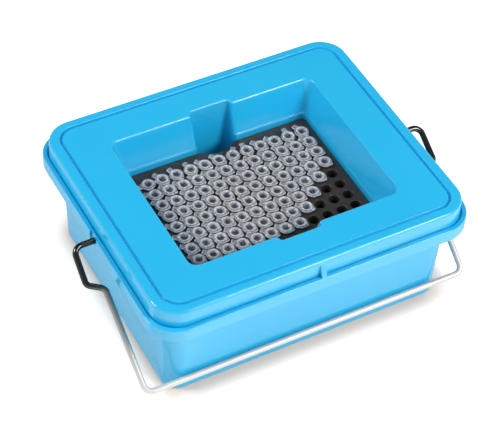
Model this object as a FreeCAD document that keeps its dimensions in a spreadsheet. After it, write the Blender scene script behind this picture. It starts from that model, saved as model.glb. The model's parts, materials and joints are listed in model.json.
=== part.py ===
"""Bench cooler for 0.2 ml reaction tubes, as a parametric FreeCAD document.

A drafted tub with a turned-down rim carries a drop-in cover.  The cover is one
moulding: deck, funnel-shaped recess, finger notches and the tray in which a black
96-well plate sits.  Coolant gel fills the space between tub and tray.  A bent-wire
carrying handle turns in two bosses under the rim.  Origin: centre of the underside.
+X runs along the rows of twelve wells, +Y to the back, +Z up.  Millimetres.
"""
import FreeCAD, Part
import math
import os
import Sketcher

V = FreeCAD.Vector
UP = V(0, 0, 1)
doc = FreeCAD.newDocument("bench_cooler")

# ---------------------------------------------------------------- driving dimensions
SIZES = {
    # heights above the bench
    "floor_thick": 2.8, "shoulder_z": 55.6, "seat_z": 62.3, "rim_z": 63.9, "deck_z": 74.0,
    # tub: half sizes and corner radius at the foot, and how much the draft adds up to the rim
    "foot_x": 86.2, "foot_y": 69.6, "foot_round": 10.0, "tub_draft": 2.1,
    "wall_thick": 2.5, "foot_bevel": 1.4, "foot_inset": 5.0, "foot_recess": 1.0,
    # turned-down rim
    "rim_x": 97.8, "rim_y": 81.2, "rim_round": 18.0, "rim_wall": 2.4,
    "rim_hollow": 4.7, "rim_bevel": 0.8, "seat_step": 2.45,
    # handle bearings
    "slot_half": 4.0, "slot_depth": 1.1, "boss_half": 7.0, "boss_rise": 5.2,
    "pivot_z": 59.75, "bearing_radius": 1.8, "bearing_depth": 6.6, "bearing_gap": 0.4,
    # handle wire, measured along X and away from the pivot axis
    "wire_radius": 1.75, "leg_x": 109.5, "leg_lean": 0.6, "jog_start": 21.3,
    "arm_x": 100.9, "jog_end": 26.4, "bar_x": 100.5, "bar_reach": 87.2, "rest_angle": 34.0,
    "bend_pivot": 5.0, "bend_jog": 3.4, "bend_arm": 4.2, "bend_bar": 5.0,
    # cover
    "cover_x": 94.9, "cover_y": 78.3, "cover_round": 16.4, "cover_draft": 0.5,
    "cover_wall": 2.5, "deck_thick": 2.5, "deck_fillet": 2.0,
    "groove_x": 87.6, "groove_y": 71.7, "groove_round": 10.1,
    "groove_half": 0.75, "groove_depth": 1.0,
    "rib_half": 1.5, "rib_reach": 2.6, "rib_top_z": 72.0, "rib_toe": 1.8, "rib_gap": 0.1,
    # recess
    "mouth_x": 64.2, "mouth_y": 51.2, "funnel_round": 5.4, "mouth_fillet": 1.6,
    "throat_x": 58.5, "throat_y": 44.2, "lip_z": 54.9,
    "tray_x": 57.7, "tray_y": 43.3, "tray_round": 3.2, "tray_floor_z": 26.4, "tray_wall": 2.0,
    "notch_half": 12.8, "notch_back": 54.7, "notch_draft": 1.9, "notch_floor_z": 34.0,
    "notch_root": 36.0, "notch_round": 3.2, "notch_lip_round": 2.2,
    # well plate
    "plate_x": 57.1, "plate_y": 42.7, "plate_round": 2.6, "plate_z": 51.4,
    "scoop_radius": 17.0, "scoop_centre": 55.6, "scoop_depth": 13.0,
    "pitch": 9.0, "well_radius": 3.1, "well_straight": 5.4, "well_deep": 20.0,
    "well_tip": 1.3,
    # tube
    "cap_radius": 3.9, "cap_rise": 2.6, "tube_length": 17.6, "tube_radius": 2.75,
    "tube_tip": 1.0, "strap_half": 1.3, "strap_reach": 6.6, "tab_half": 1.2,
    "tab_reach": 4.9, "strap_angle": 138.0,
    # gel
    "gel_gap": 0.4, "gel_top_z": 60.0,
}
TUBES_IN_ROW = {"a": 12, "b": 12, "c": 12, "d": 12, "e": 11, "f": 10, "g": 9, "h": 8}
COLUMNS = 12

sheet = doc.addObject("Spreadsheet::Sheet", "sizes")
for row, (alias, value) in enumerate(SIZES.items(), start=1):
    sheet.set("A%d" % row, alias)
    sheet.set("B%d" % row, str(value))
    sheet.setAlias("B%d" % row, alias)
doc.recompute()


def total(terms):
    """Value of a sum of signed sheet names, such as '+rim_x -rim_wall'."""
    return sum(float(t[0] + "1") * float(getattr(sheet, t[1:])) for t in terms.split())


def formula(terms):
    """The same sum as an expression that FreeCAD keeps bound to the sheet."""
    return "0" + "".join(" %s sizes.%s" % (t[0], t[1:]) for t in terms.split())


# ---------------------------------------------------------------- modelling helpers
def new_body(label):
    """A PartDesign body; its label is also its file name."""
    body = doc.addObject("PartDesign::Body", label + "_body")
    body.Label = label
    return body


def new_sketch(body, name, offset="", role="XY_Plane"):
    """A sketch on one of the body's origin planes, moved along its normal."""
    sketch = body.newObject("Sketcher::SketchObject", name)
    plane = next(f for f in body.Origin.OriginFeatures if f.Role == role)
    sketch.AttachmentSupport = [(plane, "")]
    sketch.MapMode = "FlatFace"
    sketch.setExpression(".AttachmentOffset.Base.z", formula(offset))
    return sketch


def flipped(terms, sign):
    """The sum itself for '+', the sum with every sign turned for '-'."""
    return terms if sign == "+" else terms.translate(str.maketrans("+-", "-+"))


def bind(sketch, kind, *parts, terms):
    """Add a dimension to a sketch and bind it to a sum from the sheet."""
    index = sketch.addConstraint(Sketcher.Constraint(kind, *parts, total(terms)))
    sketch.setExpression("Constraints[%d]" % index, formula(terms))


def rounded_rectangle(sketch, half_x, half_y, radius):
    """Rounded rectangle centred on the origin."""
    reach = V(total(half_x), total(half_y), 0)
    turn = total(radius)
    arcs = []
    for quarter, (sx, sy) in enumerate([(1, 1), (-1, 1), (-1, -1), (1, -1)]):
        centre = V(sx * (reach.x - turn), sy * (reach.y - turn), 0)
        start = quarter * math.pi / 2
        arc = Part.ArcOfCircle(Part.Circle(centre, UP, turn), start, start + math.pi / 2)
        arcs.append(sketch.addGeometry(arc, False))
    for arc, following, kind in zip(arcs, arcs[1:] + arcs[:1], ["Horizontal", "Vertical"] * 2):
        ends = (sketch.getPoint(arc, 2), sketch.getPoint(following, 1))
        line = sketch.addGeometry(Part.LineSegment(*ends), False)
        sketch.addConstraint(Sketcher.Constraint("Tangent", arc, 2, line, 1))
        sketch.addConstraint(Sketcher.Constraint("Tangent", line, 2, following, 1))
        sketch.addConstraint(Sketcher.Constraint(kind, line))
    for arc in arcs[1:]:
        sketch.addConstraint(Sketcher.Constraint("Equal", arcs[0], arc))
    sketch.addConstraint(Sketcher.Constraint("Symmetric", arcs[0], 3, arcs[2], 3, -1, 1))
    minus_radius = " " + flipped(radius, "-")
    bind(sketch, "DistanceX", -1, 1, arcs[0], 3, terms=half_x + minus_radius)
    bind(sketch, "DistanceY", -1, 1, arcs[0], 3, terms=half_y + minus_radius)
    bind(sketch, "Radius", arcs[0], terms=radius)


def outline(sketch, name, inset=""):
    """Rounded rectangle of a named outline, pulled in evenly by a sum of sizes."""
    shrink = " " + flipped(inset, "-")
    sides = ["+%s_%s%s" % (name, side, shrink) for side in ("x", "y", "round")]
    rounded_rectangle(sketch, *sides)


def polygon(sketch, corners):
    """Closed polygon; every corner is a pair of sums from the sheet."""
    points = [V(total(x), total(y), 0) for x, y in corners]
    lines = []
    for point, following in zip(points, points[1:] + points[:1]):
        lines.append(sketch.addGeometry(Part.LineSegment(point, following), False))
    for line, following, (x, y) in zip(lines, lines[1:] + lines[:1], corners):
        sketch.addConstraint(Sketcher.Constraint("Coincident", line, 2, following, 1))
        bind(sketch, "DistanceX", -1, 1, line, 1, terms=x)
        bind(sketch, "DistanceY", -1, 1, line, 1, terms=y)
    return lines


def extrude(body, kind, name, sketch, length, upward=True):
    """Pad or Pocket of a sketch along its normal, or against it."""
    feature = body.newObject("PartDesign::" + kind, name)
    feature.Profile = sketch
    feature.setExpression("Length", formula(length))
    feature.Reversed = upward if kind == "Pocket" else not upward
    return feature


def taper(feature, widening, height):
    """Draft a pad or pocket so that its outline grows by a sum of sizes over a height."""
    feature.setExpression("TaperAngle", "atan((%s) / (%s))" % (formula(widening), formula(height)))


def wedge(body, kind, name, low, high, bottom, top):
    """Frustum with flat sides between two rectangles, added to or cut from the body.

    The rectangles are four sums each: left, right, front and back.
    """
    feature = body.newObject("PartDesign::%sWedge" % kind, name)
    plane = next(f for f in body.Origin.OriginFeatures if f.Role == "XZ_Plane")
    feature.AttachmentSupport = [(plane, "")]
    feature.MapMode = "FlatFace"
    left, right, front, back = bottom
    left_2, right_2, front_2, back_2 = top
    sides = {"Ymin": low, "Ymax": high, "Xmin": left, "Xmax": right, "X2min": left_2, "X2max": right_2}
    for name, terms in sides.items():
        feature.setExpression(name, formula(terms))
    depths = {"Zmin": back, "Zmax": front, "Z2min": back_2, "Z2max": front_2}
    for name, terms in depths.items():
        feature.setExpression(name, "-(%s)" % formula(terms))
    return feature


def edges_where(feature, test):
    """Names of the edges whose box centre passes the test."""
    doc.recompute()
    names = []
    for number, edge in enumerate(feature.Shape.Edges, start=1):
        if test(edge.BoundBox.Center, edge):
            names.append("Edge%d" % number)
    return names


def dress(body, kind, name, base, edges, radius):
    """Fillet or chamfer on edges of the body's last feature."""
    feature = body.newObject("PartDesign::" + kind, name)
    feature.Base = (base, edges)
    feature.setExpression("Radius" if kind == "Fillet" else "Size", formula(radius))
    return feature


# ---------------------------------------------------------------- tub
def make_base_tub():
    """Drafted tub with a turned-down rim, a seat for the cover and bearing bosses."""
    body = new_body("base_tub")
    foot = new_sketch(body, "tub_foot")
    outline(foot, "foot")
    outside = extrude(body, "Pad", "tub_outside", foot, "+shoulder_z")
    taper(outside, "+tub_draft", "+shoulder_z")
    rim = new_sketch(body, "rim_outline", "+shoulder_z")
    outline(rim, "rim")
    rim_block = extrude(body, "Pad", "rim_block", rim, "+rim_z -shoulder_z")
    crest = total("+rim_z")
    top_edges = edges_where(rim_block, lambda c, e: abs(c.z - crest) < 0.01)
    bevel = dress(body, "Chamfer", "rim_bevel_edge", rim_block, top_edges, "+rim_bevel")
    sole_edges = edges_where(bevel, lambda c, e: abs(c.z) < 0.01)
    dress(body, "Chamfer", "foot_bevel_edge", bevel, sole_edges, "+foot_bevel")

    inside = new_sketch(body, "cavity_floor", "+floor_thick")
    outline(inside, "foot", "+wall_thick")
    cavity = extrude(body, "Pocket", "cavity", inside, "+rim_z -floor_thick")
    taper(cavity, "+tub_draft", "+shoulder_z")
    seat = new_sketch(body, "seat_outline", "+rim_z")
    outline(seat, "rim", "+seat_step")
    extrude(body, "Pocket", "cover_seat", seat, "+rim_z -seat_z", upward=False)
    hollow = new_sketch(body, "rim_hollow_outline", "+shoulder_z")
    outline(hollow, "rim", "+rim_wall")
    outline(hollow, "foot", "-tub_draft")
    extrude(body, "Pocket", "rim_hollow_ring", hollow, "+rim_hollow")
    panel = new_sketch(body, "foot_panel")
    outline(panel, "foot", "+foot_inset")
    extrude(body, "Pocket", "foot_recess_panel", panel, "+foot_recess")

    for side, sign in (("left", "-"), ("right", "+")):
        make_bearing(body, side, sign)
    return body


def make_bearing(body, side, sign):
    """Boss between tub wall and rim, the flat slot in the rim and the blind bearing."""
    boss = new_sketch(body, side + "_boss_outline", "+shoulder_z")
    inner = "%sfoot_x %stub_draft" % (sign, sign)
    back = "-" if sign == "+" else "+"
    outer = "%srim_x %srim_wall" % (sign, back)
    polygon(boss, [(inner, "-boss_half"), (outer, "-boss_half"),
                   (outer, "+boss_half"), (inner, "+boss_half")])
    extrude(body, "Pad", side + "_boss", boss, "+boss_rise")
    slot = new_sketch(body, side + "_slot_outline", "+rim_z")
    face = "%srim_x %sslot_depth" % (sign, back)
    beyond = "%srim_x %srim_wall" % (sign, sign)
    polygon(slot, [(face, "-slot_half"), (beyond, "-slot_half"),
                   (beyond, "+slot_half"), (face, "+slot_half")])
    extrude(body, "Pocket", side + "_slot", slot, "+rim_z -shoulder_z", upward=False)
    bearing = new_sketch(body, side + "_bearing_circle", face, role="YZ_Plane")
    circle = Part.Circle(V(0, total("+pivot_z"), 0), UP, total("+bearing_radius"))
    index = bearing.addGeometry(circle, False)
    bearing.addConstraint(Sketcher.Constraint("PointOnObject", index, 3, -2))
    bind(bearing, "DistanceY", -1, 1, index, 3, terms="+pivot_z")
    bind(bearing, "Radius", index, terms="+bearing_radius")
    inward = sign == "-"
    extrude(body, "Pocket", side + "_bearing", bearing, "+bearing_depth", upward=inward)


# ---------------------------------------------------------------- cover
def make_top_cover():
    """Deck, outer wall, funnel, finger notches and plate tray in one moulding."""
    body = new_body("top_cover")
    foot = new_sketch(body, "cover_foot", "+seat_z")
    outline(foot, "cover")
    block = extrude(body, "Pad", "cover_outside", foot, "+deck_z -seat_z")
    taper(block, "-cover_draft", "+deck_z -seat_z")
    crest = total("+deck_z")
    rim = edges_where(block, lambda c, e: abs(c.z - crest) < 0.01)
    dress(body, "Fillet", "deck_fillet_edge", block, rim, "+deck_fillet")
    under = new_sketch(body, "under_deck", "+seat_z")
    outline(under, "cover", "+cover_wall")
    extrude(body, "Pocket", "deck_underside", under, "+deck_z -deck_thick -seat_z")
    make_tray_shell(body)
    make_recess(body)
    ring = new_sketch(body, "groove_ring", "+deck_z")
    outline(ring, "groove", "-groove_half")
    outline(ring, "groove", "+groove_half")
    extrude(body, "Pocket", "deck_groove", ring, "+groove_depth", upward=False)
    make_front_rib(body)
    return body


def make_tray_shell(body):
    """Outside of the funnel, of the tray below it and of the two finger notches."""
    wedge(body, "Additive", "funnel_shell", "+lip_z -tray_wall", "+deck_z -deck_fillet",
          spread("throat", "tray_wall"), spread("mouth", "tray_wall"))
    tray = new_sketch(body, "tray_shell_outline", "+tray_floor_z -tray_wall")
    outline(tray, "tray", "-tray_wall")
    extrude(body, "Pad", "tray_shell", tray, "+lip_z -tray_floor_z +tray_wall")
    for side, sign in (("front", "-"), ("back", "+")):
        pad = new_sketch(body, side + "_notch_shell_outline", "+notch_floor_z -tray_wall")
        near = "%stray_y" % sign
        far = "%snotch_back %stray_wall" % (sign, sign)
        left, right = "-notch_half -tray_wall", "+notch_half +tray_wall"
        polygon(pad, [(left, near), (right, near), (right, far), (left, far)])
        height = "+deck_z -deck_fillet -notch_floor_z +tray_wall"
        extrude(body, "Pad", side + "_notch_shell", pad, height)


def spread(name, wall=""):
    """Left, right, front and back of a named outline, grown by a wall if one is given."""
    minus = " -%s" % wall if wall else ""
    plus = " +%s" % wall if wall else ""
    return ["-%s_x%s" % (name, minus), "+%s_x%s" % (name, plus),
            "-%s_y%s" % (name, minus), "+%s_y%s" % (name, plus)]


def make_recess(body):
    """Funnel walls, the small lip above the plate, the tray and the finger notches."""
    lip, deck = total("+lip_z"), total("+deck_z")
    last = wedge(body, "Subtractive", "funnel", "+lip_z", "+deck_z", spread("throat"), spread("mouth"))
    narrow, wide = total("+throat_y"), total("+mouth_y")

    def slanted(centre, edge):
        """True on the edges that climb from the throat to the mouth."""
        box = edge.BoundBox
        climbs = box.ZMin < lip + 0.1 and box.ZMax > deck - 0.1
        return climbs and narrow < abs(centre.y) < wide

    corners = edges_where(last, slanted)
    dress(body, "Fillet", "funnel_corner_edges", last, corners, "+funnel_round")
    tray = new_sketch(body, "tray_outline", "+lip_z")
    outline(tray, "tray")
    extrude(body, "Pocket", "tray_pocket", tray, "+lip_z -tray_floor_z", upward=False)
    for side in ("front", "back"):
        last = cut_notch(body, side)
    half = total("+notch_half")
    lips = edges_where(last, lambda c, e: slanted(c, e) and abs(abs(c.x) - half) < 2.0)
    last = dress(body, "Fillet", "notch_lip_edges", last, lips, "+notch_lip_round")
    reach_x, reach_y = total("+mouth_x") + 1, total("+notch_back") + 1

    def recess_mouth(centre, edge):
        """True on the edges of the recess in the deck's top face."""
        inside = abs(centre.x) < reach_x and abs(centre.y) < reach_y
        return edge.BoundBox.ZMin > deck - 0.01 and inside

    rims = edges_where(last, recess_mouth)
    dress(body, "Fillet", "mouth_fillet_edges", last, rims, "+mouth_fillet")


def cut_notch(body, side):
    """Drafted finger notch with two rounded upright corners in one long side."""
    low = ["-notch_half +notch_draft", "+notch_half -notch_draft"]
    high = ["-notch_half", "+notch_half"]
    if side == "front":
        low += ["-notch_back +notch_draft", "-notch_root"]
        high += ["-notch_back", "-notch_root"]
    else:
        low += ["+notch_root", "+notch_back -notch_draft"]
        high += ["+notch_root", "+notch_back"]
    cut = wedge(body, "Subtractive", side + "_notch", "+notch_floor_z", "+deck_z", low, high)
    toward = -1 if side == "front" else 1
    back = total("+notch_back -notch_draft")

    def upright(centre, edge):
        """True on the two far upright edges of this notch."""
        return edge.BoundBox.ZLength > 20 and back < toward * centre.y < back + 2.0

    corners = edges_where(cut, upright)
    return dress(body, "Fillet", side + "_notch_corners", cut, corners, "+notch_round")


def make_front_rib(body):
    """Small gusset at the front middle, from the deck edge down to the rim."""
    rib = new_sketch(body, "rib_profile", "-rib_half", role="YZ_Plane")
    root = "-cover_y +cover_wall"
    toe = "-cover_y -rib_reach"
    polygon(rib, [(root, "+rib_top_z"), ("-cover_y +cover_draft", "+rib_top_z"),
                  (toe, "+rim_z +rib_toe"), (toe, "+rim_z +rib_gap"),
                  (root, "+rim_z +rib_gap")])
    extrude(body, "Pad", "front_rib", rib, "+rib_half +rib_half")


# ---------------------------------------------------------------- gel
def make_coolant_gel():
    """Gel between tub and tray, with the hollow that the tray leaves in it."""
    body = new_body("coolant_gel")
    low = new_sketch(body, "gel_low", "+floor_thick +gel_gap")
    outline(low, "foot", "+wall_thick +gel_gap")
    block = extrude(body, "Pad", "gel_outside", low, "+gel_top_z -floor_thick -gel_gap")
    taper(block, "+tub_draft", "+shoulder_z")
    funnel = new_sketch(body, "gel_funnel", "+gel_top_z")
    shell = spread("mouth", "tray_wall")
    left, right, front, back = shell
    polygon(funnel, [(left, front), (right, front), (right, back), (left, back)])
    depth = "+gel_top_z -lip_z +tray_wall +gel_gap"
    extrude(body, "Pocket", "gel_funnel_hollow", funnel, depth, upward=False)
    tray = new_sketch(body, "gel_tray", "+gel_top_z")
    outline(tray, "tray", "-tray_wall -gel_gap")
    depth = "+gel_top_z -tray_floor_z +tray_wall +gel_gap"
    extrude(body, "Pocket", "gel_tray_hollow", tray, depth, upward=False)
    notch = new_sketch(body, "gel_notch", "+gel_top_z")
    left, right = "-notch_half -tray_wall -gel_gap", "+notch_half +tray_wall +gel_gap"
    front, back = "-notch_back -tray_wall -gel_gap", "+notch_back +tray_wall +gel_gap"
    polygon(notch, [(left, front), (right, front), (right, back), (left, back)])
    depth = "+gel_top_z -notch_floor_z +tray_wall +gel_gap"
    extrude(body, "Pocket", "gel_notch_hollow", notch, depth, upward=False)
    return body


# ---------------------------------------------------------------- handle
def rounded_path(corners, radii):
    """Line and arc segments along corners, each inner corner rounded to its radius."""
    pieces = []
    start = corners[0]
    for before, corner, after, radius in zip(corners, corners[1:], corners[2:], radii):
        inward = (before - corner).normalize()
        onward = (after - corner).normalize()
        opening = inward.getAngle(onward)
        first = corner + inward * (radius / math.tan(opening / 2))
        last = corner + onward * (radius / math.tan(opening / 2))
        bisector = (inward + onward).normalize()
        middle = corner + bisector * (radius / math.sin(opening / 2) - radius)
        pieces.append(Part.LineSegment(start, first))
        pieces.append(Part.Arc(first, middle, last))
        start = last
    pieces.append(Part.LineSegment(start, corners[-1]))
    return pieces


def make_handle():
    """One steel wire bent in a plane: pivot ends, stand-off legs, arms and front bar."""
    body = new_body("handle")
    wire_end = "+rim_x -slot_depth -bearing_depth +bearing_gap"
    right = [V(total(wire_end), 0, 0), V(total("+leg_x"), 0, 0),
             V(total("+leg_x +leg_lean"), -total("+jog_start"), 0),
             V(total("+arm_x"), -total("+jog_end"), 0),
             V(total("+bar_x"), -total("+bar_reach"), 0)]
    left = [V(-corner.x, corner.y, 0) for corner in reversed(right)]
    bends = [total("+bend_" + name) for name in ("pivot", "jog", "arm", "bar")]
    spine = new_sketch(body, "handle_line")
    for piece in rounded_path(right + left, bends + bends[::-1]):
        spine.addGeometry(piece, False)
    section = new_sketch(body, "handle_section", wire_end, role="YZ_Plane")
    radius = total("+wire_radius")
    ring = [V(radius * math.cos(math.pi * step / 6), radius * math.sin(math.pi * step / 6), 0)
            for step in range(12)]
    for point, following in zip(ring, ring[1:] + ring[:1]):
        section.addGeometry(Part.LineSegment(point, following), False)
    pipe = body.newObject("PartDesign::AdditivePipe", "handle_wire")
    pipe.Profile = section
    pipe.Spine = spine
    for side, sign in (("right", "+"), ("left", "-")):
        journal = new_sketch(body, side + "_journal_circle", flipped(wire_end, sign), role="YZ_Plane")
        circle = journal.addGeometry(Part.Circle(V(0, 0, 0), UP, radius), False)
        journal.addConstraint(Sketcher.Constraint("Coincident", circle, 3, -1, 1))
        bind(journal, "Radius", circle, terms="+wire_radius")
        extrude(body, "Pad", side + "_journal", journal, "+bearing_depth", upward=sign == "+")
    body.setExpression(".Placement.Base.z", formula("+pivot_z"))
    body.Placement.Rotation = FreeCAD.Rotation(V(1, 0, 0), total("+rest_angle"))
    return body


# ---------------------------------------------------------------- plate and tubes
def well_centre(column, letter):
    """Centre of a well on the plate's top; row a is at the back, column 0 at the left."""
    pitch = total("+pitch")
    across = (column - (COLUMNS - 1) / 2) * pitch
    along = ((len(TUBES_IN_ROW) - 1) / 2 - "abcdefgh".index(letter)) * pitch
    return V(across, along, total("+plate_z"))


def frustum(sides, wide, narrow, top, drop, turned=0):
    """Closed taper with flat sides, from a wide polygon at the top down to a narrow one."""
    turns = [math.radians(turned + 360 * step / sides) for step in range(sides)]
    upper = [top + V(wide * math.cos(t), wide * math.sin(t), 0) for t in turns]
    lower = [top + V(narrow * math.cos(t), narrow * math.sin(t), -drop) for t in turns]
    rings = [upper, lower]
    for step in range(sides):
        after = (step + 1) % sides
        rings.append([upper[step], upper[after], lower[after], lower[step]])
    shell = Part.makeShell([Part.Face(Part.makePolygon(ring + ring[:1])) for ring in rings])
    shell.sewShape()
    solid = Part.makeSolid(shell)
    if solid.Volume < 0:
        solid.reverse()
    return solid


def make_well_plate():
    """Block with a finger scoop in each long side and 96 tapered wells."""
    body = new_body("plate_blank")
    block = new_sketch(body, "plate_outline", "+tray_floor_z")
    outline(block, "plate")
    extrude(body, "Pad", "plate_block", block, "+plate_z -tray_floor_z")
    for side, sign in (("front", "-"), ("back", "+")):
        scoop = new_sketch(body, side + "_scoop_circle", "+plate_z")
        centre = V(0, total("%sscoop_centre" % sign), 0)
        circle = Part.Circle(centre, UP, total("+scoop_radius"))
        index = scoop.addGeometry(circle, False)
        scoop.addConstraint(Sketcher.Constraint("PointOnObject", index, 3, -2))
        bind(scoop, "DistanceY", -1, 1, index, 3, terms="%sscoop_centre" % sign)
        bind(scoop, "Radius", index, terms="+scoop_radius")
        extrude(body, "Pocket", side + "_scoop", scoop, "+scoop_depth", upward=False)

    wide, tip = total("+well_radius"), total("+well_tip")
    deep, straight = total("+well_deep"), total("+well_straight")
    cutters = []
    for letter, filled in TUBES_IN_ROW.items():
        for column in range(COLUMNS):
            top = well_centre(column, letter)
            if column < filled:
                cutters.append(frustum(6, wide, tip, top, deep, total("+strap_angle")))
            else:
                bore = Part.makeCylinder(wide, straight, top, V(0, 0, -1))
                low = top - V(0, 0, straight)
                taper_end = frustum(12, 0.98 * wide, tip, low, deep - straight)
                cutters.append(bore.fuse(taper_end))
    wells = doc.addObject("Part::Feature", "wells")
    wells.Shape = Part.makeCompound(cutters)
    plate = doc.addObject("Part::Cut", "plate_with_wells")
    plate.Base = body
    plate.Tool = wells
    plate.Label = "well_plate"
    return plate


def tube_shape():
    """One closed tube, rim at the origin: tapered body, cap, thumb tab and strap."""
    radius, rise = total("+cap_radius"), total("+cap_rise")
    strap, reach = total("+strap_half"), total("+strap_reach")
    tab, tab_reach = total("+tab_half"), total("+tab_reach")
    strap_root = math.asin(strap / radius)
    tab_root = math.pi - 1.5 * math.asin(tab / radius)
    upper = [V(reach, strap, 0)]
    for step in range(3):
        turn = strap_root + (tab_root - strap_root) * step / 2
        upper.append(V(radius * math.cos(turn), radius * math.sin(turn), 0))
    upper.append(V(-tab_reach, 0.6 * tab, 0))
    lower = [V(point.x, -point.y, 0) for point in reversed(upper)]
    ring = upper + lower
    cap = Part.Face(Part.makePolygon(ring + ring[:1])).extrude(V(0, 0, rise))
    taper_body = frustum(6, total("+tube_radius"), total("+tube_tip"), V(0, 0, 0), total("+tube_length"))
    return cap.fuse(taper_body)


def make_tube_row(letter, count, master):
    """The closed tubes that stand in one row of wells, as separate solids."""
    row = doc.addObject("Part::Feature", "tubes_row_" + letter)
    tubes = []
    for column in range(count):
        tube = master.copy()
        tube.rotate(V(0, 0, 0), UP, total("+strap_angle"))
        tube.translate(well_centre(column, letter))
        tubes.append(tube)
    row.Shape = Part.makeCompound(tubes)
    row.Label = "tubes_row_" + letter
    return row


# ---------------------------------------------------------------- build, check and write
def build():
    """Every sub-part of the cooler, in the order in which it is put together."""
    parts = [make_base_tub(), make_coolant_gel(), make_top_cover(), make_well_plate()]
    master = tube_shape()
    for letter, count in TUBES_IN_ROW.items():
        parts.append(make_tube_row(letter, count, master))
    parts.append(make_handle())
    return parts


def check(parts):
    """Stop if any object failed or any sub-part has no valid solid."""
    doc.recompute()
    for item in doc.Objects:
        if "Invalid" in item.State or "Error" in item.State:
            raise SystemExit("failed object: %s" % item.Name)
    for part in parts:
        shape = part.Shape
        if shape.isNull() or not shape.isValid() or not shape.Solids:
            raise SystemExit("bad shape: %s" % part.Label)
        print("%-14s solids %3d  volume %9.1f mm3" % (part.Label, len(shape.Solids), shape.Volume))


def write(parts):
    """One STEP file for each sub-part."""
    os.makedirs("parts", exist_ok=True)
    for part in parts:
        part.Shape.exportStep(os.path.join("parts", part.Label + ".step"))


all_parts = build()
check(all_parts)
write(all_parts)
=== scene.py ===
# %% [markdown]
# # A bench cooler for reaction tubes
# The object is a blue moulded tub with a drop-in cover, a black plate with 96 wells in
# the cover's recess, small clear tubes in the wells and a bent-wire carrying handle.
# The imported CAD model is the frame: it gives every place and every size, and each new
# piece below takes the place of one of its solids with a finer surface.

# %% The frame and the units
import json
import math
import bpy
import numpy as np
from mathutils import Matrix, Vector


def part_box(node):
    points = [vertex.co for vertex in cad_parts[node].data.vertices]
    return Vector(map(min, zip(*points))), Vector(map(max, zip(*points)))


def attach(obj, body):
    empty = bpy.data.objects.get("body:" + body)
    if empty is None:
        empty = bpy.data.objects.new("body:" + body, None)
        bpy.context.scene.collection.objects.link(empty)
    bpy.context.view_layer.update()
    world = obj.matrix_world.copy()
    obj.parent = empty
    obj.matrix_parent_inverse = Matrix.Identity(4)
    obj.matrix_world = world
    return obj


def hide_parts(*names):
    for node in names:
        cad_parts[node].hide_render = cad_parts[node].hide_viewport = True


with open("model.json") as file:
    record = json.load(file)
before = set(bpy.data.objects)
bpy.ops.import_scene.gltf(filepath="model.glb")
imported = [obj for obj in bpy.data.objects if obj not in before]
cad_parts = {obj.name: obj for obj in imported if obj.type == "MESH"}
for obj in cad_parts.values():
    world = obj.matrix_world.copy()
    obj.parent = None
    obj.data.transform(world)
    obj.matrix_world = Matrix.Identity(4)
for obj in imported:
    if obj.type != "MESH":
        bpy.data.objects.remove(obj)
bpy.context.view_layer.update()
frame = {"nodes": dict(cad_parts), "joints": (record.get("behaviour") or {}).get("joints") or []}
MM = 0.001


def corners_mm(node):
    """Lowest and highest corner of a CAD node, in millimetres."""
    low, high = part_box(node)
    return np.array(low) / MM, np.array(high) / MM


cover_low, cover_high = corners_mm("top_cover")
tub_low, tub_high = corners_mm("base_tub")
plate_low, plate_high = corners_mm("well_plate")
print("cover", cover_low.round(2), cover_high.round(2))
print("tub", tub_low.round(2), tub_high.round(2))
print("plate", plate_low.round(2), plate_high.round(2))

# %% [markdown]
# ## The heights and outlines
# Every moulding here has a rounded rectangle as its plan, and only its half sizes, its
# corner radius and its height change from one level to the next. The levels come from the
# boxes of the CAD nodes, and the wall and step sizes are what such injection mouldings
# measure, in millimetres.

# %% Levels shared by the pieces
DECK_Z = cover_high[2]
COVER_FOOT_TO_SEAT, RIM_HEIGHT = 37.9, 8.3
FUNNEL_DEPTH, NOTCH_DEPTH = 19.1, 40.0
SEAT_Z = cover_low[2] + COVER_FOOT_TO_SEAT
RIM_Z = tub_high[2]
SHOULDER_Z = RIM_Z - RIM_HEIGHT
LIP_Z = DECK_Z - FUNNEL_DEPTH
TRAY_Z = plate_low[2]
PLATE_Z = plate_high[2]
NOTCH_Z = DECK_Z - NOTCH_DEPTH
PIVOT_Z = frame["joints"][0]["pos_m"][2] / MM
print("deck", DECK_Z, "seat", SEAT_Z, "rim", RIM_Z, "plate", PLATE_Z, "pivot", PIVOT_Z)

# %% [markdown]
# ## From arrays to a Blender mesh
# Each surface is worked out as whole numpy arrays of points and faces. Writing the arrays
# straight into the mesh is fast and leaves nothing to chance. An edge at which the faces
# turn by more than the crisp angle is marked sharp, so that flat walls stay flat.

# %% Making a piece
def make_piece(name, points, faces, body, crisp=34.0):
    """A closed mesh from N x 3 points in millimetres and a list of K x 3 or K x 4 faces."""
    mesh = bpy.data.meshes.new(name)
    loops = np.concatenate([block.ravel() for block in faces]).astype(np.int32)
    sizes = np.concatenate([np.full(len(block), block.shape[1]) for block in faces])
    starts = np.concatenate([[0], np.cumsum(sizes)[:-1]]).astype(np.int32)
    mesh.vertices.add(len(points))
    mesh.vertices.foreach_set("co", (np.asarray(points) * MM).astype(np.float32).ravel())
    mesh.loops.add(len(loops))
    mesh.loops.foreach_set("vertex_index", loops)
    mesh.polygons.add(len(sizes))
    mesh.polygons.foreach_set("loop_start", starts)
    mesh.polygons.foreach_set("use_smooth", np.ones(len(sizes), dtype=bool))
    mesh.update(calc_edges=True)
    mended = mesh.validate()
    mesh.set_sharp_from_angle(angle=math.radians(crisp))
    piece = bpy.data.objects.new(name, mesh)
    bpy.context.scene.collection.objects.link(piece)
    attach(piece, body)
    print(name, len(points), "points", len(sizes), "faces", "mended" if mended else "sound")
    return piece


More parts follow.
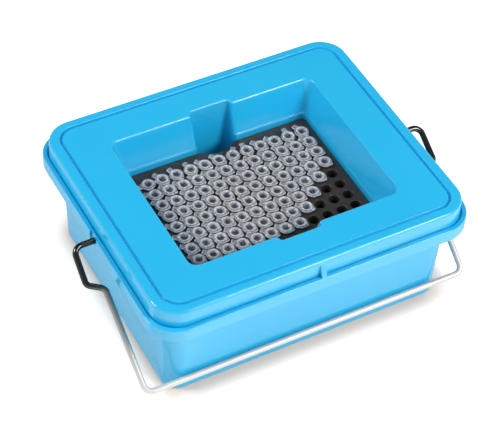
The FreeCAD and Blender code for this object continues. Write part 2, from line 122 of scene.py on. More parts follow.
def ring_faces(rings, columns, first=0):
    """Quads between successive closed rings, numbered row by row from the first point."""
    row = np.arange(rings - 1)[:, None] * columns + first
    here = np.arange(columns)[None, :]
    after = (here + 1) % columns
    below = row + columns
    return np.stack([row + here, below + here, below + after, row + after], -1).reshape(-1, 4)


def fan_faces(ring, pole, upward):
    """Triangles from one closed ring of point numbers to a pole."""
    after = np.roll(ring, -1)
    centre = np.full(len(ring), pole)
    order = [ring, after, centre] if upward else [after, ring, centre]
    return np.stack(order, -1)


# %% [markdown]
# ## Rounding a moulded edge
# A mould has no knife edges. A station is one level of the wall: half length, half width,
# corner radius, height, and the half width and back of the finger notch. Between two
# stations the wall is straight. Where it turns, the corner is replaced by a short curve
# that leaves one wall and meets the other without a kink: the square of (1 - t) of the
# point before, twice t times (1 - t) of the corner, and the square of t of the point after.

# %% Softening a profile
GUARD = 0.35


def soften(stations):
    """Rows of ring numbers from (row, reach, steps) stations, with the corners rounded.

    The curve starts and ends at its reach from the corner, but before the middle of a
    wall. A guard ring on each side of it keeps the shading of the flat wall flat.
    """
    rows = [np.array(row, dtype=float) for row, reach, steps in stations]
    done = []
    for index, (row, reach, steps) in enumerate(stations):
        here = rows[index]
        if not reach:
            done.append(here[None, :])
            continue
        before, after = rows[index - 1], rows[index + 1]
        span_before = np.hypot(*(before - here)[[0, 3]])
        span_after = np.hypot(*(after - here)[[0, 3]])
        start = here + (before - here) * min(reach / span_before, 0.48)
        end = here + (after - here) * min(reach / span_after, 0.48)
        t = np.linspace(0.0, 1.0, steps + 1)[:, None]
        curve = (1 - t) ** 2 * start + 2 * t * (1 - t) * here + t ** 2 * end
        guard_before = start + (before - start) * min(GUARD / span_before, 0.3)
        guard_after = end + (after - end) * min(GUARD / span_after, 0.3)
        done += [guard_before[None, :], curve, guard_after[None, :]]
    return np.concatenate(done)


# %% [markdown]
# ## One ring of the outline
# A ring is drawn for one quarter and mirrored to the other three. The quarter runs up the
# short side, round the corner and along the long side to the middle, where the two finger
# notches open. A notch is two arcs and a wall: out round the lip, straight in, and round
# the inner corner. Where a level has no notch, the same number of points lies evenly
# along the straight side, so that every ring has as many points as its neighbours.

# %% Rings of a rounded rectangle
CORNER_STEPS, ARC_STEPS = 12, 6
LIP_ROUND, INNER_ROUND = 2.2, 3.2
LEAD, MIDDLE_SPAN = 0.8, 26.0


def outline_rings(rows, side_marks):
    """Rings of points, R x C x 3, from rows of half x, half y, radius, z, notch half and back.

    One quarter is the side's own marks, the corner's arc, and then the notch or as many
    points along the straight side. A lead point just before and after each corner keeps
    the flat wall flat.
    """
    half_x, half_y, radius, z, notch, back = [rows[:, [k]] for k in range(6)]
    straight = half_y - radius
    marks = np.array(side_marks, dtype=float)[None, :]
    side_y = np.concatenate([np.minimum(marks, straight - 1.5 * LEAD), straight - LEAD], 1)
    side_x = np.broadcast_to(half_x, side_y.shape)
    turn = np.linspace(0, np.pi / 2, CORNER_STEPS + 1)[None, :]
    corner_x = half_x - radius + radius * np.cos(turn)
    corner_y = half_y - radius + radius * np.sin(turn)
    deep = np.maximum(back - half_y, 0.0)
    lip = np.minimum(LIP_ROUND, 0.40 * deep)
    inner = np.minimum(INNER_ROUND, 0.58 * deep)
    arc = np.linspace(0, np.pi / 2, ARC_STEPS + 1)[None, :]
    lip_x = notch + lip - lip * np.sin(arc)
    lip_y = half_y + lip - lip * np.cos(arc)
    inner_x = notch - inner + inner * np.cos(arc)
    inner_y = back - inner + inner * np.sin(arc)
    ends_x = [half_x - radius - LEAD, 0 * half_x + MIDDLE_SPAN, notch + lip + 0.5]
    rest_x = [notch - inner - 0.5, 0 * notch + 3.0, 0 * notch]
    open_x = np.concatenate(ends_x + [lip_x, inner_x] + rest_x, 1)
    open_y = np.concatenate([half_y] * 3 + [lip_y, inner_y] + [back] * 3, 1)
    count = open_x.shape[1]
    even_x = np.linspace(MIDDLE_SPAN, 0.0, count - 1)[None, :]
    flat_x = np.concatenate([ends_x[0], 0 * half_x + even_x], 1)
    flat_y = np.broadcast_to(half_y, flat_x.shape)
    is_open = deep > 0.05
    long_x = np.where(is_open, open_x, flat_x)
    long_y = np.where(is_open, open_y, flat_y)
    qx = np.concatenate([side_x, corner_x, long_x], 1)
    qy = np.concatenate([side_y, corner_y, long_y], 1)
    ring_x = np.concatenate([qx[:, :-1], -qx[:, :0:-1], -qx[:, :-1], qx[:, :0:-1]], 1)
    ring_y = np.concatenate([qy[:, :-1], qy[:, :0:-1], -qy[:, :-1], -qy[:, :0:-1]], 1)
    return np.stack([ring_x, ring_y, np.broadcast_to(z, ring_x.shape)], -1)


def close_stack(rings, low_pole, high_pole):
    """Points and faces of a stack of rings with a pole at its start and at its end."""
    count, columns = rings.shape[:2]
    points = np.concatenate([rings.reshape(-1, 3), [low_pole, high_pole]])
    first, last = np.arange(columns), np.arange(columns) + (count - 1) * columns
    faces = [ring_faces(count, columns),
             fan_faces(first, len(points) - 2, True),
             fan_faces(last, len(points) - 1, False)]
    return points, faces


# %% [markdown]
# ## The cover
# The cover is one moulding. Seen in section it starts at the tray floor, climbs the tray
# wall, steps out over a narrow lip, follows the funnel up to the mouth, crosses the deck
# with its fine groove, rolls over the outer edge and comes back underneath, 2.5 mm thick
# at the deck and the edge and 2 mm at the funnel and the tray. Two finger notches cut
# through the funnel in the middle of the long sides. A stack of rings says all of this
# with one list of levels.

# %% Outlines and levels of the cover
# An outline is a half length, a half width and a corner radius. A level grows it evenly.
COVER_X, COVER_Y = cover_high[:2]
tray, lip, mouth = (57.7, 43.3, 3.2), (58.5, 44.2, 2.6), (64.2, 51.2, 5.4)
lip_under, mouth_under = (60.5, 46.2, 5.4), (66.05, 53.0, 5.4)
groove, cover_edge = (86.4, 70.5, 8.9), (COVER_X, COVER_Y, 16.4)
WALL, DECK_WALL, GROOVE_DEPTH = 2.0, 2.5, 1.4
NOTCH_HALF, NOTCH_BACK, NOTCH_DRAFT = 12.8, 54.7, 1.9
HAIR = 0.01


def notch_at(z):
    """Half width and back of the notch at a height: both shrink evenly towards its floor."""
    drop = NOTCH_DRAFT * (DECK_Z - z) / (DECK_Z - NOTCH_Z)
    return NOTCH_HALF - drop, NOTCH_BACK - drop


def level(outline, grow, z, notch=None):
    """Ring numbers of a grown outline; a level with no notch has its back at the side."""
    half_x, half_y, radius = (size + grow for size in outline)
    wide, back = notch if notch else (NOTCH_HALF, half_y)
    return (half_x, half_y, radius, z, wide, back)


wide_notch = (NOTCH_HALF + WALL, NOTCH_BACK + WALL)
cover_stations = [
    (level(tray, -1.5, TRAY_Z), 0, 0),
    (level(tray, 0, TRAY_Z), 0.8, 3),
    (level(tray, 0, NOTCH_Z), 0, 0),
    (level(tray, 0, NOTCH_Z + HAIR, notch_at(NOTCH_Z)), 0, 0),
    (level(tray, 0, NOTCH_Z + 1.2, notch_at(NOTCH_Z + 1.2)), 0, 0),
    (level(tray, 0, LIP_Z, notch_at(LIP_Z)), 0.38, 4),
    (level(lip, 0, LIP_Z, notch_at(LIP_Z)), 0.3, 3),
    (level(mouth, 0, DECK_Z, notch_at(DECK_Z)), 1.25, 7),
    (level(mouth, 2.0, DECK_Z, wide_notch), 0, 0),
    (level(groove, 0, DECK_Z), 0, 0),
    (level(groove, 0.35, DECK_Z), 0.4, 4),
    (level(groove, 0.50, DECK_Z - GROOVE_DEPTH), 0, 0),
    (level(groove, 1.90, DECK_Z - GROOVE_DEPTH), 0, 0),
    (level(groove, 2.05, DECK_Z), 0.4, 4),
    (level(cover_edge, -0.5, DECK_Z), 1.95, 8),
    (level(cover_edge, 0, SEAT_Z), 0.25, 3),
    (level(cover_edge, -DECK_WALL, SEAT_Z), 0, 0),
    (level(cover_edge, -DECK_WALL, DECK_Z - DECK_WALL), 0, 0),
    (level(mouth_under, 0, DECK_Z - DECK_WALL, wide_notch), 0, 0),
    (level(lip_under, 0, LIP_Z - WALL, wide_notch), 0, 0),
    (level(tray, WALL, LIP_Z - 2.2, wide_notch), 0, 0),
    (level(tray, WALL, NOTCH_Z - WALL + HAIR, wide_notch), 0, 0),
    (level(tray, WALL, NOTCH_Z - WALL - HAIR), 0, 0),
    (level(tray, WALL, TRAY_Z - WALL), 0, 0),
]
cover_rows = soften(cover_stations)
print("cover levels", len(cover_stations), "rings", len(cover_rows))

# %% The cover's mesh
# Two rings lie a hair apart at the notch floor, inside and outside the shell. Along the
# plain wall, away from the notch, the upper ring of each pair is lifted a little.
LIFT = 0.4
cover_rings = outline_rings(cover_rows, [0.0, 20.0])
plain = np.abs(cover_rings[..., 1]) <= cover_rows[:, [1]] + 1e-6
for notch_floor in (NOTCH_Z, NOTCH_Z - WALL):
    upper = np.abs(cover_rings[..., 2] - notch_floor - HAIR) < HAIR / 2
    cover_rings[..., 2] += LIFT * (plain & upper)
cover_points, cover_faces = close_stack(cover_rings, (0, 0, TRAY_Z), (0, 0, TRAY_Z - WALL))
top_cover = make_piece("cover_moulding", cover_points, cover_faces, "cooler")
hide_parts("top_cover")

# %% [markdown]
# ## The gusset
# A small upright rib joins the cover's front wall to its foot, where a thumb lifts the
# cover out. Its side view is an outline of five points pushed 3 mm along X. A bevel of
# three steps rounds the edges as the moulding does.

# %% The gusset's mesh
def prism(profile, half_width):
    """Closed prism along X: the profile at -half and at +half, joined all round."""
    profile = np.asarray(profile, dtype=float)
    count = len(profile)
    left = np.column_stack([np.full(count, -half_width), profile])
    right = np.column_stack([np.full(count, half_width), profile])
    here = np.arange(count)
    after = (here + 1) % count
    walls = np.stack([here, here + count, after + count, after], -1)
    centre = profile.mean(0)
    poles = [[-half_width, *centre], [half_width, *centre]]
    ends = [fan_faces(here, 2 * count, True), fan_faces(here + count, 2 * count + 1, False)]
    return np.concatenate([left, right, poles]), [walls] + ends


GUSSET_HALF, GUSSET_REACH = 1.5, 2.6
gusset_low, gusset_high = RIM_Z + 0.1, DECK_Z - 2.0
front = cover_low[1] + GUSSET_REACH
gusset_side = [(front + 1.2, gusset_low), (front + 1.2, gusset_high), (front + 0.4, gusset_high),
               (front - GUSSET_REACH, RIM_Z + 1.8), (front - GUSSET_REACH, gusset_low)]
gusset_points, gusset_faces = prism(gusset_side, GUSSET_HALF)
gusset = make_piece("front_gusset", gusset_points, gusset_faces, "cooler", crisp=60)
rounding = gusset.modifiers.new("moulded_edges", "BEVEL")
rounding.width, rounding.segments, rounding.limit_method = 0.35 * MM, 3, "ANGLE"

# %% [markdown]
# ## The tub
# The tub is drafted, so it widens from foot to shoulder and leaves the mould. At the top
# its wall turns out and down into a hollow rim, with a step inside that carries the cover.
# In the middle of each short side the rim has a flat slot, and behind the slot a solid
# boss fills the hollow rim round the bearing of the handle. The slot and the boss are
# changes to a few columns of the same rings.

# %% Outlines and levels of the tub
RIM_X, RIM_Y = tub_high[:2]
tub_rim, tub_seat = (RIM_X, RIM_Y, 18.0), (RIM_X - 2.45, RIM_Y - 2.45, 16.0)
tub_inside, tub_foot = (83.7, 67.1, 7.5), (86.2, 69.6, 10.0)
TUB_DRAFT, TUB_FLOOR, RIM_WALL = 2.1, 2.8, 2.4
HOLLOW_TOP, MID_WALL = SHOULDER_Z + 4.7, 28.0
FOOT_BAND, PANEL_RISE = 5.0, 1.0
SLOT_X = RIM_X - 1.1
BORE_STEP = 1.3


def wall_at(z):
    """Growth of the drafted wall from the foot up to a height."""
    return TUB_DRAFT * z / SHOULDER_Z


bore_marks = [PIVOT_Z + k * BORE_STEP for k in (2, 1, 0, -1, -2)]
tub_stations = [
    (level(tub_inside, -1.5, TUB_FLOOR), 0, 0),
    (level(tub_inside, 0, TUB_FLOOR), 0.9, 3),
    (level(tub_inside, wall_at(SEAT_Z - TUB_FLOOR), SEAT_Z), 0, 0),
    (level(tub_seat, 0, SEAT_Z), 0, 0),
    (level(tub_seat, 0, RIM_Z), 0.25, 3),
    (level(tub_rim, 0, RIM_Z), 0.85, 6),
    *[(level(tub_rim, 0, z), 0, 0) for z in bore_marks],
    (level(tub_rim, 0, SHOULDER_Z), 0.3, 3),
    (level(tub_rim, -RIM_WALL, SHOULDER_Z), 0, 0),
    (level(tub_rim, -RIM_WALL, HOLLOW_TOP), 0, 0),
    (level(tub_foot, wall_at(HOLLOW_TOP), HOLLOW_TOP), 0, 0),
    (level(tub_foot, TUB_DRAFT, SHOULDER_Z), 0, 0),
    (level(tub_foot, wall_at(MID_WALL), MID_WALL), 0, 0),
    (level(tub_foot, 0, 0.0), 1.5, 6),
    (level(tub_foot, -FOOT_BAND, 0.0), 0.25, 3),
    (level(tub_foot, -FOOT_BAND, PANEL_RISE), 0, 0),
]
tub_rows = soften(tub_stations)
print("tub levels", len(tub_stations), "rings", len(tub_rows))

# %% Slot and boss
# The columns near the middle of a short side are moved: in the slot they step back from
# the rim, and round the bearing the hollow of the rim is closed to a boss. A pair of
# columns 0.05 mm apart stands at the edge of each.
SLOT_HALF, BOSS_HALF = 3.97, 7.02
HOLLOW_IN, HOLLOW_OUT = 88.35, RIM_X - 2.3
BOSS_IN, BOSS_OUT = 90.6, 93.4
SLOT_MARKS = [0.0, BORE_STEP, 2 * BORE_STEP, 3.95, 4.0, 6.0, 7.0, 7.05, 20.0]
tub_rings = outline_rings(tub_rows, SLOT_MARKS)
tub_x, tub_y, tub_z = tub_rings[..., 0], tub_rings[..., 1], tub_rings[..., 2]
in_slot = (np.abs(tub_y) < SLOT_HALF) & (np.abs(tub_x) > SLOT_X)
tub_x[in_slot] = np.sign(tub_x[in_slot]) * SLOT_X
in_hollow = (np.abs(tub_x) > HOLLOW_IN) & (np.abs(tub_x) < HOLLOW_OUT)
in_hollow &= (np.abs(tub_y) < BOSS_HALF) & (tub_z > SHOULDER_Z + 1.0)
outer_half = np.abs(tub_x) > (BOSS_IN + BOSS_OUT) / 2
tub_x[in_hollow] = (np.sign(tub_x) * np.where(outer_half, BOSS_OUT, BOSS_IN))[in_hollow]
tub_z[in_hollow] = SHOULDER_Z
print("moved points: slot", in_slot.sum(), "boss", in_hollow.sum())

# %% The bearing
BORE_RADIUS, BORE_DEPTH, BORE_POINTS = 1.8, 6.6, 16


def bore_patch(rings, side, points):
    """A blind round bearing in the slot's floor, sewn into the square hole left for it.

    The square's own 16 points are joined to a circle at the face, and the circle is
    carried straight in and closed by a fan.
    """
    square_half, slack = 2 * BORE_STEP, 0.1
    near = np.abs(rings[..., 0] - side * SLOT_X) < 1e-6
    off_centre = np.maximum(np.abs(rings[..., 1]), np.abs(rings[..., 2] - PIVOT_Z))
    chosen = np.flatnonzero((near & (off_centre < square_half + slack)).ravel())
    y, z = points[chosen, 1], points[chosen, 2] - PIVOT_Z
    on_rim = np.maximum(np.abs(y), np.abs(z)) > square_half - slack
    order = np.argsort(np.arctan2(z[on_rim], y[on_rim] * side))
    square = chosen[on_rim][order]
    turn = np.arctan2(points[square, 2] - PIVOT_Z, points[square, 1])
    circle = np.stack([np.full(BORE_POINTS, side * SLOT_X),
                       BORE_RADIUS * np.cos(turn), PIVOT_Z + BORE_RADIUS * np.sin(turn)], -1)
    deep = circle - np.array([side * BORE_DEPTH, 0, 0])
    pole = [side * (SLOT_X - BORE_DEPTH), 0, PIVOT_Z]
    face = np.arange(BORE_POINTS) + len(points)
    well = face + BORE_POINTS
    sewn = [np.stack([a, np.roll(a, -1), np.roll(b, -1), b], -1)
            for a, b in ((square, face), (face, well))]
    fan = np.stack([well, np.roll(well, -1), np.full(BORE_POINTS, well[-1] + 1)], -1)
    return np.concatenate([circle, deep, [pole]]), sewn + [fan], chosen


tub_points, tub_faces = close_stack(tub_rings, (0, 0, TUB_FLOOR), (0, 0, PANEL_RISE))
for side in (-1, 1):
    added, bearing_faces, square_hole = bore_patch(tub_rings, side, tub_points)
    covers_hole = np.isin(tub_faces[0], square_hole).all(1)
    tub_faces[0] = tub_faces[0][~covers_hole]
    tub_points = np.concatenate([tub_points, added])
    tub_faces += bearing_faces

# %% The tub's mesh
# Points inside the square holes belong to no face any more, so the rest are renumbered.
used, numbers = np.unique(np.concatenate([b.ravel() for b in tub_faces]), return_inverse=True)
cuts = np.cumsum([b.size for b in tub_faces])[:-1]
tub_faces = [part.reshape(old.shape) for part, old in zip(np.split(numbers, cuts), tub_faces)]
tub_points = tub_points[used]
base_tub = make_piece("tub_moulding", tub_points, tub_faces, "cooler")
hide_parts("base_tub")

# %% [markdown]
# ## The well plate
# The plate is a machined-looking black moulding with 8 rows of 12 wells on a 9 mm pitch.
# One well is a tile: a 9 mm square that turns into a circle, a small chamfer that catches
# the light, a straight bore and a cone. The 96 tiles are one array with the tile's centre
# added. Round them a margin strip follows the outline, with a finger scoop in each long
# side, and the sides and the underside close the block.

# %% One well tile
PITCH, PER_SIDE = 9.0, 6
PLATE_X, PLATE_Y, PLATE_ROUND = plate_high[0], plate_high[1], 2.6


def cup(rings, pole, upward):
    """Points, quads and fan of a stack of rings that one pole closes at its end."""
    count, columns = len(rings), len(rings[0])
    last = np.arange(columns) + (count - 1) * columns
    points = np.concatenate([*rings, [pole]])
    return points, ring_faces(count, columns), fan_faces(last, len(points) - 1, upward)


def square_walk(per_side, half):
    """Points round a square, counter-clockwise from its lower right corner."""
    step = np.arange(per_side) / per_side
    up = np.stack([np.full(per_side, 1.0), 2 * step - 1], -1)
    quarter = np.array([[0, 1], [-1, 0]])
    sides = [up @ np.linalg.matrix_power(quarter, k) for k in range(4)]
    return half * np.concatenate(sides)


edge = square_walk(PER_SIDE, PITCH / 2)
aim = np.arctan2(edge[:, 1], edge[:, 0])
around = np.stack([np.cos(aim), np.sin(aim)], -1)
# radius and height: the flat round the chamfer, the chamfer, the bore and the cone
well_levels = [(3.75, 0.0), (3.5, 0.0), (3.4, -0.04), (3.12, -0.36), (3.08, -0.6),
               (3.05, -5.4), (1.3, -20.0)]
WELL_TIP = -20.3
tile_rings = [np.column_stack([edge, np.zeros(len(edge))])]
tile_rings += [np.column_stack([r * around, np.full(len(edge), z)]) for r, z in well_levels]
tile, tile_quads, tile_fan = cup(tile_rings, (0, 0, WELL_TIP), True)
# The rings go inwards here, so the quads run the other way round to face up.
tile_quads = tile_quads[:, ::-1]
print("one well", len(tile), "points", len(tile_quads) + len(tile_fan), "faces")

# %% The grid of tiles
COLUMNS, ROWS = 12, 8
GRID_X, GRID_Y = COLUMNS * PITCH / 2, ROWS * PITCH / 2
col, row = np.meshgrid(np.arange(COLUMNS), np.arange(ROWS))
centres = np.stack([(col - (COLUMNS - 1) / 2) * PITCH, ((ROWS - 1) / 2 - row) * PITCH,
                    np.full(col.shape, PLATE_Z)], -1)
grid_points = (centres.reshape(-1, 1, 3) + tile[None]).reshape(-1, 3)
shift = (np.arange(COLUMNS * ROWS) * len(tile))[:, None, None]
grid_quads = (tile_quads[None] + shift).reshape(-1, 4)
grid_fans = (tile_fan[None] + shift).reshape(-1, 3)
print("wells", COLUMNS * ROWS, "points", len(grid_points))

# %% Margin, sides and underside
SCOOP_CENTRE, SCOOP_RADIUS = 55.6, 17.0


def plate_outline():
    """The grid's outer points and, in the same order, the points on the plate's outline.

    Along a long side the outline keeps each grid point's x, and its y is the side or the
    scoop's circle, whichever lies nearer the middle. Each corner of the grid is repeated
    for all the points of the outline's corner.
    """
    fine = PITCH / PER_SIDE
    y = np.arange(-GRID_Y, GRID_Y, fine)
    x = np.arange(GRID_X, -GRID_X, -fine)
    half_chord = math.sqrt(SCOOP_RADIUS ** 2 - (SCOOP_CENTRE - PLATE_Y) ** 2)
    outer_x = np.where(np.abs(np.abs(x) - half_chord) < fine / 2, np.sign(x) * half_chord, x)
    scoop = SCOOP_CENTRE - np.sqrt(np.maximum(SCOOP_RADIUS ** 2 - outer_x ** 2, 0))
    outer_y = np.where(np.abs(outer_x) < half_chord + 0.01, np.minimum(scoop, PLATE_Y), PLATE_Y)
    inner = [np.stack([np.full(len(y), GRID_X), y], -1), np.stack([x, np.full(len(x), GRID_Y)], -1)]
    outer = [np.stack([np.full(len(y), PLATE_X), y], -1), np.stack([outer_x, outer_y], -1)]
    inner += [-inner[0], -inner[1]]
    outer += [-outer[0], -outer[1]]
    turn = np.linspace(0, np.pi / 2, 8)
    corner = np.array([PLATE_X - PLATE_ROUND, PLATE_Y - PLATE_ROUND])
    bend = corner + PLATE_ROUND * np.stack([np.cos(turn), np.sin(turn)], -1)
    rising = np.concatenate([[[PLATE_X, GRID_Y]], bend])
    falling = np.concatenate([[[GRID_X, PLATE_Y]], bend[::-1]])
    spots = [(1, 1), (-1, 1), (-1, -1), (1, -1)]
    near, far = [], []
    for k, spot in enumerate(spots):
        turned = (falling if k % 2 else rising) * spot
        near += [inner[k], np.repeat([[GRID_X, GRID_Y]], len(turned), 0) * spot]
        far += [outer[k], turned]
    return np.concatenate(near), np.concatenate(far)


near, far = plate_outline()
print("outline points", len(far))
inward = (near - far) / np.linalg.norm(near - far, axis=1, keepdims=True)
# how far a ring is pulled in from the outline, and its height over the plate's top
plate_levels = [(0.5, 0.0), (0.12, -0.1), (0.0, -0.4), (0.0, TRAY_Z - PLATE_Z)]
side_rings = [np.column_stack([near, np.full(len(far), PLATE_Z)])]
side_rings += [np.column_stack([far + inward * pull, np.full(len(far), PLATE_Z + z)])
               for pull, z in plate_levels]
side_points, side_quads, side_fan = cup(side_rings, (0, 0, TRAY_Z), False)

# %% One closed plate
plate_points = np.concatenate([grid_points, side_points])
plate_quads = np.concatenate([grid_quads, side_quads + len(grid_points)])
plate_fans = np.concatenate([grid_fans, side_fan + len(grid_points)])


def weld(points, faces, apart=1e-4):
    """Points that share a place become one, and faces that lost a corner are put right."""
    key = np.round(points / apart).astype(np.int64)
    kept, numbers = np.unique(key, axis=0, return_inverse=True)
    numbers = numbers.ravel()
    first = np.full(len(kept), len(points))
    np.minimum.at(first, numbers, np.arange(len(points)))
    done = []
    for block in faces:
        block = numbers[block]
        same = block == np.roll(block, -1, 1)
        done.append(block[same.sum(1) == 0])
        if block.shape[1] == 4:
            for k in range(4):
                lost = block[(same.sum(1) == 1) & same[:, k]]
                done.append(np.delete(lost, k, 1))
    return points[first], [block for block in done if len(block)]


plate_points, plate_faces = weld(plate_points, [plate_quads, plate_fans])
well_plate = make_piece("plate_moulding", plate_points, plate_faces, "cooler", crisp=40)
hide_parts("well_plate")

# %% [markdown]
# ## The tubes
# Each tube is a clear moulding with a cap, a pointed thumb tab and a strap that folds
# back from the cap. Seen from above the cap is a distance from the centre that depends on
# the angle: the round cap, the two tangent lines that meet at the tab's point, and the
# strap's straight sides and end. The distance and a height for each ring give the cap, and
# the body goes on below it as plain round rings.

# %% Outline of a cap
CAP, TAB_REACH, TAB_BLUNT = 4.1, 5.2, 0.12
STRAP_HALF, STRAP_REACH = 1.5, 6.55
SHARP, BLEND = 24, 14
# The angles lie closer where the outline turns quickly: at the strap and at the tab.
half_turns = np.radians([0, 5, 9, 11.2, 13.5, 17, 21, 26, 34, 48,
                         64, 82, 100, 118, 134, 145, 154, 163, 171, 176])
cap_turns = np.concatenate([half_turns, [np.pi], -half_turns[:0:-1]])


def cap_reach(turn):
    """Distance from the centre to the cap's outline at an angle from the strap.

    On the tab's tangents it is the cap's radius over the cosine of the angle from the
    tangent's foot. On the strap it is the smaller of the reach to its side and to its
    end, and the whole is the larger of strap and cap. Sums of high powers pick the
    smaller and the larger, and leave the corner between the two rounded.
    """
    off_tab = np.abs(np.abs(turn) - np.pi)
    spread = math.acos(CAP / TAB_REACH)
    tangent = CAP / np.cos(np.clip(spread - off_tab, 0, spread))
    tab = np.minimum(np.where(off_tab < spread, tangent, CAP), TAB_REACH - TAB_BLUNT)
    to_end = STRAP_REACH / np.maximum(np.cos(turn), 0.2)
    to_side = STRAP_HALF / np.maximum(np.abs(np.sin(turn)), 1e-6)
    strap = (to_end ** -SHARP + to_side ** -SHARP) ** (-1 / SHARP)
    strap = np.where(np.cos(turn) > 0, strap, 0.1)
    return (strap ** BLEND + tab ** BLEND) ** (1 / BLEND)


reach = cap_reach(cap_turns)
print("cap reach", reach.min().round(2), "to", reach.max().round(2), "at", len(cap_turns), "angles")

# %% [markdown]
# The cap's top is not flat. The hollow plug leaves a dish in it, round the dish stands a
# thick ring, and outside the ring the surface falls to a thin edge. The same ring numbers
# carry a haze value: the thick ring scatters the light and looks pale, and on the thin
# bottom of the dish the low haze lets the finish paint the cap slate, a painted shade for
# the dark well beneath.

# %% Rings of a tube
CENTRE_HEIGHT, CENTRE_HAZE, TIP_HEIGHT, TIP_HAZE = 1.34, 0.0, -17.6, 0.3
# radius, share of the way from the round ring to the outline, height, haze
cap_levels = [
    (0.6, 0.0, 1.36, 0.04), (1.1, 0.0, 1.46, 0.10), (1.6, 0.0, 1.66, 0.21), (2.1, 0.0, 1.98, 0.40),
    (2.6, 0.0, 2.34, 0.62), (3.0, 0.0, 2.54, 0.70), (3.35, 0.0, 2.42, 0.52), (3.5, 0.35, 2.20, 0.36),
    (3.5, 0.75, 2.06, 0.40), (3.5, 0.93, 2.02, 0.66), (3.5, 1.0, 1.82, 0.85), (3.5, 1.0, 0.95, 0.30),
    (3.5, 0.93, 0.75, 0.3), (3.3, 0.0, 0.55, 0.2), (3.3, 0.0, 0.02, 0.2), (2.75, 0.0, -0.05, 0.2),
    (2.7, 0.0, -6.0, 0.2), (1.2, 0.0, -16.4, 0.2), (0.7, 0.0, -17.3, 0.2),
]
ring_radius, share, height, haze = [np.array(c)[:, None] for c in zip(*cap_levels)]
radial = ring_radius + share * (reach[None, :] - ring_radius)
template = np.stack([radial * np.cos(cap_turns), radial * np.sin(cap_turns),
                     np.broadcast_to(height, radial.shape)], -1)
template_points, template_faces = close_stack(template, (0, 0, CENTRE_HEIGHT), (0, 0, TIP_HEIGHT))
template_haze = np.append(np.repeat(haze.ravel(), len(cap_turns)), [CENTRE_HAZE, TIP_HAZE])
print("one tube", len(template_points), "points")

# %% [markdown]
# The tubes were pressed in by hand, so the straps don't all point the same way. Most lie
# near 135 degrees, the first column turns a little more, and the back row is the least
# even. Each row of wells is one piece, as it is in the frame, and its tubes are copies of
# the template turned by their own angle.

# %% Rows of tubes
# degrees from +X to each tube's strap, from the first column on
STRAPS = {
    "a": [180, 120, 113, 102, 130, 123, 63, 94, 128, 135, 87, 110],
    "b": [158, 133, 139, 128, 141, 136, 130, 138, 133, 126, 137, 131],
    "c": [134, 140, 129, 136, 131, 143, 134, 127, 139, 134, 130, 138],
    "d": [130, 136, 142, 133, 127, 137, 141, 132, 129, 138, 134, 128],
    "e": [153, 131, 135, 141, 132, 128, 136, 140, 133, 137, 129],
    "f": [154, 139, 130, 134, 142, 131, 127, 137, 135, 132],
    "g": [140, 128, 137, 133, 129, 140, 135, 131, 138],
    "h": [130, 136, 132, 141, 128, 134, 139, 133],
}


def mark_points(piece, name, values):
    """A number on each point of a piece, for its finish to read."""
    mark = piece.data.attributes.new(name, "FLOAT", "POINT")
    mark.data.foreach_set("value", np.asarray(values).astype(np.float32))


def tube_row(number, letter, angles):
    """Copies of the template: turned about Z, the cap leant and sunk by a hair, on the wells."""
    rng = np.random.default_rng(number)
    count = len(angles)
    turn = np.radians(angles)[:, None]
    x, y, z = template_points.T
    in_cap = z > 0.1
    lean = rng.normal(0, 0.012, (count, 2))
    sunk = rng.uniform(0, 0.12, (count, 1))
    turned_x = x * np.cos(turn) - y * np.sin(turn)
    turned_y = x * np.sin(turn) + y * np.cos(turn)
    tilted = turned_x * lean[:, [0]] + turned_y * lean[:, [1]]
    points = np.stack([turned_x, turned_y, z + in_cap * (tilted - sunk)], -1)
    points += centres[number, :count, None, :]
    shift = (np.arange(count) * len(template_points))[:, None, None]
    faces = [(part[None] + shift).reshape(-1, part.shape[1]) for part in template_faces]
    piece = make_piece("tubes_" + letter, points.reshape(-1, 3), faces, "cooler",
                       crisp=70)
    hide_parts("tubes_row_" + letter)
    mark_points(piece, "haze", np.tile(template_haze, count))
    return piece


tube_rows = [tube_row(number, letter, STRAPS[letter]) for number, letter in enumerate(STRAPS)]

# %% [markdown]
# ## The handle
# One steel wire of 3.5 mm is bent in a plane: short journals in the bearings, a loop that
# stands off from the rim, two long arms and the bar in front. The path is straight runs
# joined by arcs, and a circle is carried along it. In the plane of the wire the circle's
# two axes are the path's own normal and the plane's normal, so the tube never twists.

# %% Path of the wire
WIRE, REST = 1.75, math.radians(34.0)
# across, and out along the arm: journal end, two loop corners, start and end of the arm
right_corners = np.array([[90.5, 0.0], [109.5, 0.0], [110.1, 21.3], [100.9, 26.4], [100.5, 87.2]])
right_bends = np.array([5.0, 3.4, 4.2, 5.0])
path_corners = np.concatenate([right_corners, right_corners[::-1] * [-1, 1]])
bends = np.concatenate([right_bends, right_bends[::-1]])


def bent_path(corners, radii, steps=9):
    """Points along straight runs whose inner corners are arcs that touch both runs."""
    before, here, after = corners[:-2], corners[1:-1], corners[2:]
    inward = before - here
    onward = after - here
    inward /= np.linalg.norm(inward, axis=1, keepdims=True)
    onward /= np.linalg.norm(onward, axis=1, keepdims=True)
    opening = np.arccos((inward * onward).sum(1))
    middle = inward + onward
    middle /= np.linalg.norm(middle, axis=1, keepdims=True)
    centre = here + middle * (radii / np.sin(opening / 2))[:, None]
    start = here + inward * (radii / np.tan(opening / 2))[:, None] - centre
    cross = start[:, 0] * onward[:, 1] - start[:, 1] * onward[:, 0]
    sweep = (np.pi - opening) * np.sign(cross)
    turn = sweep[:, None] * np.linspace(0, 1, steps)[None, :]
    x = start[:, [0]] * np.cos(turn) - start[:, [1]] * np.sin(turn) + centre[:, [0]]
    y = start[:, [0]] * np.sin(turn) + start[:, [1]] * np.cos(turn) + centre[:, [1]]
    arcs = np.stack([x, y], -1).reshape(-1, 2)
    return np.concatenate([corners[:1], arcs, corners[-1:]])


